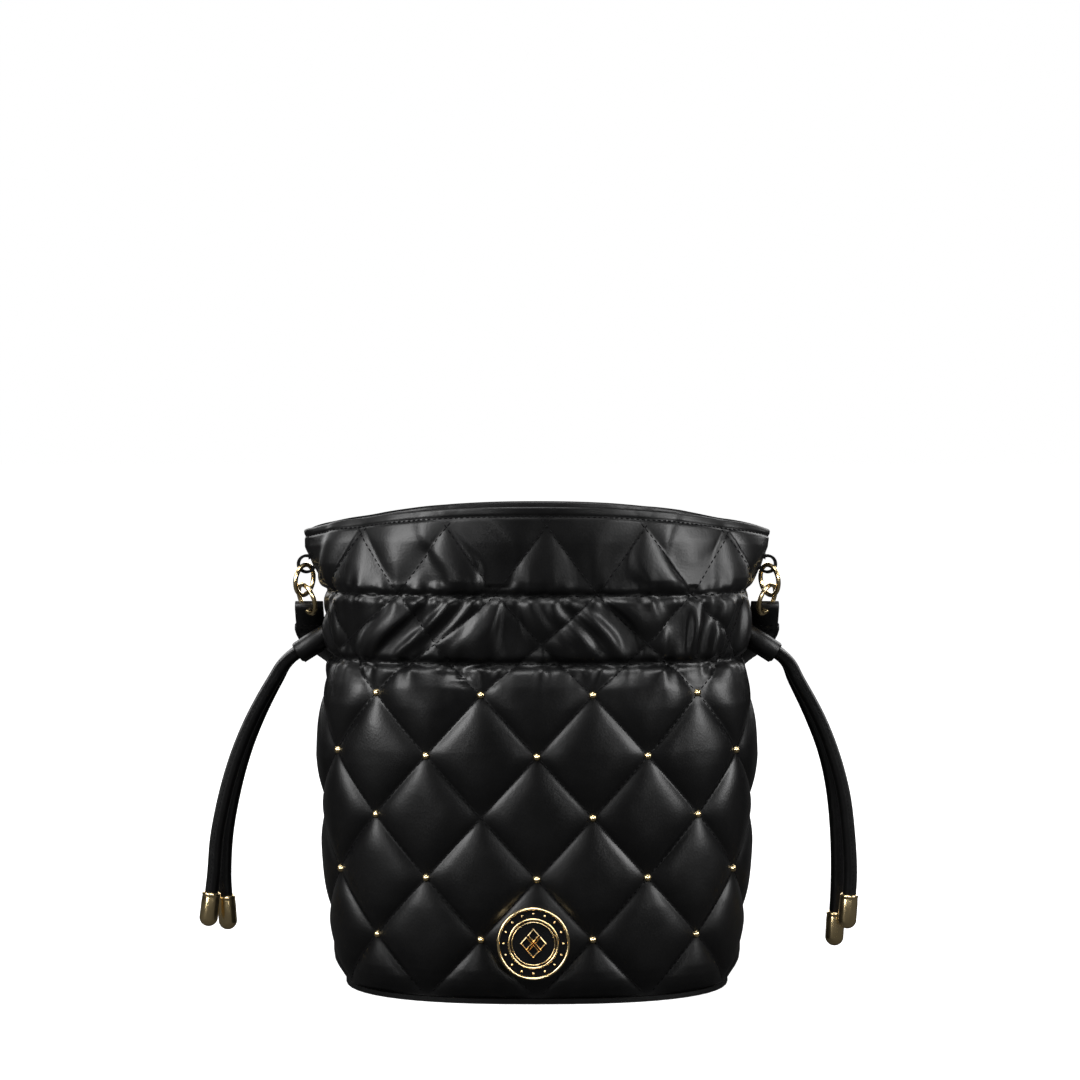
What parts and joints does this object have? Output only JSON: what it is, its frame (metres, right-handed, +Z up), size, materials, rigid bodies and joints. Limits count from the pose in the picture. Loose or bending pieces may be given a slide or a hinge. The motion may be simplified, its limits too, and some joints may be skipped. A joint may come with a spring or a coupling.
{
  "type": "bucket bag",
  "caption": "Quilted black drawstring bucket bag with dome studs, a gathered casing, corded ties with metal ends, ring hardware and a folded shoulder strap.",
  "frame": {"origin": "centre of the flat base, on the surface the bag stands on", "axes": "+Z up, front of the bag towards -Y, +X towards the right side seam as seen from the front"},
  "size_m": [0.2836, 0.1453, 0.2038],
  "materials": {
    "leather_black": "smooth semi-gloss, fine grain",
    "leather_trim": "smooth semi-gloss edge-painted trim",
    "cord_leather": "rolled and edge-stitched leather cord",
    "wadding": "polyester wadding",
    "lining_cloth": "fine woven cloth",
    "board": "pressed fibre board",
    "gold": "pale gold plating, polished",
    "enamel": "glossy black enamel"
  },
  "bodies": {
    "bag": {"front_panel": "leather_black", "back_panel": "leather_black", "wadding_front": "wadding", "wadding_back": "wadding", "lining_front": "lining_cloth", "lining_back": "lining_cloth", "lining_bottom": "lining_cloth", "base_panel": "leather_black", "base_board": "board", "base_piping": "leather_trim", "rim_facing_front": "leather_trim", "rim_facing_back": "leather_trim", "casing_tape_front": "lining_cloth", "casing_tape_back": "lining_cloth", "drawstring_front": "cord_leather", "drawstring_back": "cord_leather", "tab_left": "leather_trim", "tab_right": "leather_trim", "strap_leg_left": "leather_trim", "strap_leg_right": "leather_trim", "strap_hank": "leather_trim", "hank_tie": "leather_trim", "medallion_rim": "gold", "medallion_enamel": "enamel", "medallion_posts": "gold", "studs_front": "gold", "studs_back": "gold"},
    "pull_left": {"tail_left_front": "cord_leather", "tail_left_back": "cord_leather", "tip_left_front": "gold", "tip_left_back": "gold"},
    "pull_right": {"tail_right_front": "cord_leather", "tail_right_back": "cord_leather", "tip_right_front": "gold", "tip_right_back": "gold"},
    "keeper_left": {"keeper_left": "leather_trim"},
    "keeper_right": {"keeper_right": "leather_trim"},
    "d_ring_left": {"d_ring_left": "gold"},
    "d_ring_right": {"d_ring_right": "gold"},
    "link_ring_left": {"link_ring_left": "gold", "strap_end_left": "leather_trim"},
    "link_ring_right": {"link_ring_right": "gold", "strap_end_right": "leather_trim"}
  },
  "joints": [
    {"name": "pull_left_slide", "type": "slide", "parent": "bag", "child": "pull_left", "axis": [-0.8434, 0, -0.5373], "range_m": [0, 0.008], "deforming": ["drawstring_front", "drawstring_back"]},
    {"name": "keeper_left_slide", "type": "slide", "parent": "pull_left", "child": "keeper_left", "axis": [-0.8434, 0, -0.5373], "range_m": [0, 0.003]},
    {"name": "d_ring_left_hinge", "type": "hinge", "parent": "bag", "child": "d_ring_left", "pos_m": [-0.0992, 0, 0.1786], "axis": [0, 1, 0], "range_deg": [0, 60]},
    {"name": "link_ring_left_hinge", "type": "hinge", "parent": "d_ring_left", "child": "link_ring_left", "pos_m": [-0.10104, 0, 0.16553], "axis": [0, 1, 0], "range_deg": [0, 25]},
    {"name": "pull_right_slide", "type": "slide", "parent": "bag", "child": "pull_right", "axis": [0.8434, 0, -0.5373], "range_m": [0, 0.008]},
    {"name": "keeper_right_slide", "type": "slide", "parent": "pull_right", "child": "keeper_right", "axis": [0.8434, 0, -0.5373], "range_m": [0, 0.003]},
    {"name": "d_ring_right_hinge", "type": "hinge", "parent": "bag", "child": "d_ring_right", "pos_m": [0.0992, 0, 0.1786], "axis": [0, -1, 0], "range_deg": [0, 60]},
    {"name": "link_ring_right_hinge", "type": "hinge", "parent": "d_ring_right", "child": "link_ring_right", "pos_m": [0.10104, 0, 0.16553], "axis": [0, -1, 0], "range_deg": [0, 25]}
  ]
}
